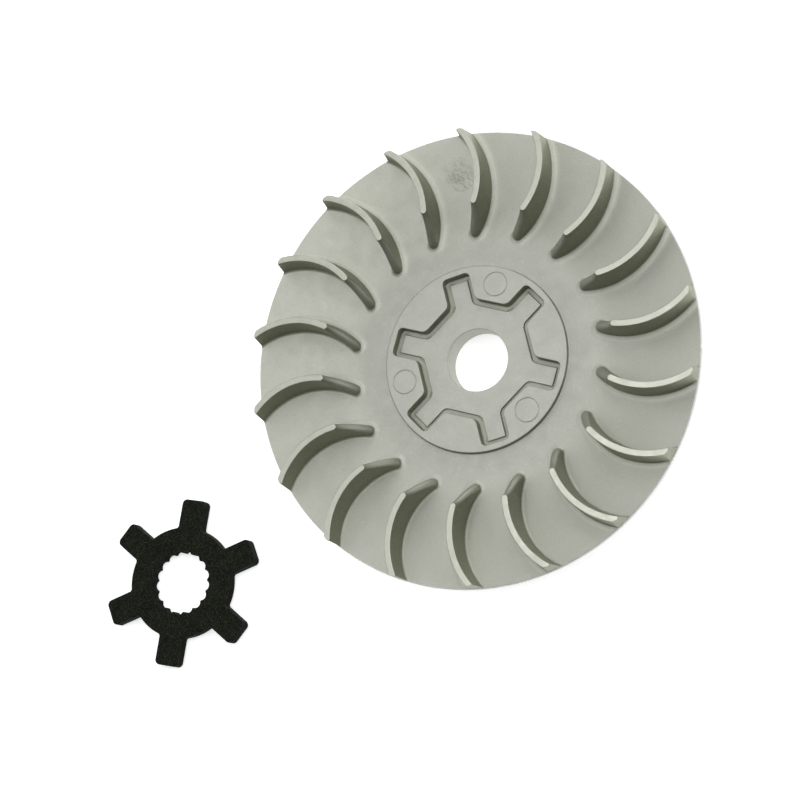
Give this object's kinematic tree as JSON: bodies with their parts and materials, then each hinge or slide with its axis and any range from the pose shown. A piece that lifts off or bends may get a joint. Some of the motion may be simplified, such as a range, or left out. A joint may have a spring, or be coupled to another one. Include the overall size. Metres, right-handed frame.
{
  "type": "fixed drive pulley half with cooling fan and star washer",
  "caption": "Cast pulley half with curved fan blades on one side and a belt cone on the other, with a loose star washer that drops into its hub recess.",
  "frame": {"origin": "centre of the crankshaft bore on the flat hub face at the back, which the part stands on", "axes": "+Z along the crankshaft axis towards the fan side, +X from the wheel to the washer lying beside it"},
  "size_m": [0.1785, 0.116, 0.0172],
  "materials": {
    "cast_aluminium": "blasted die casting, satin, with a turned belt face, hub face, bore and rim",
    "black_steel": "blackened stamped steel, fine grained, satin"
  },
  "bodies": {
    "wheel": {"fan_wheel": "cast_aluminium"},
    "washer": {"star_washer": "black_steel"}
  },
  "joints": [
    {"name": "washer_to_seat", "type": "hinge", "parent": "wheel", "child": "washer", "pos_m": [0.04933, 0, 0.0046], "axis": [0, -1, 0], "range_deg": [0, 180]}
  ]
}
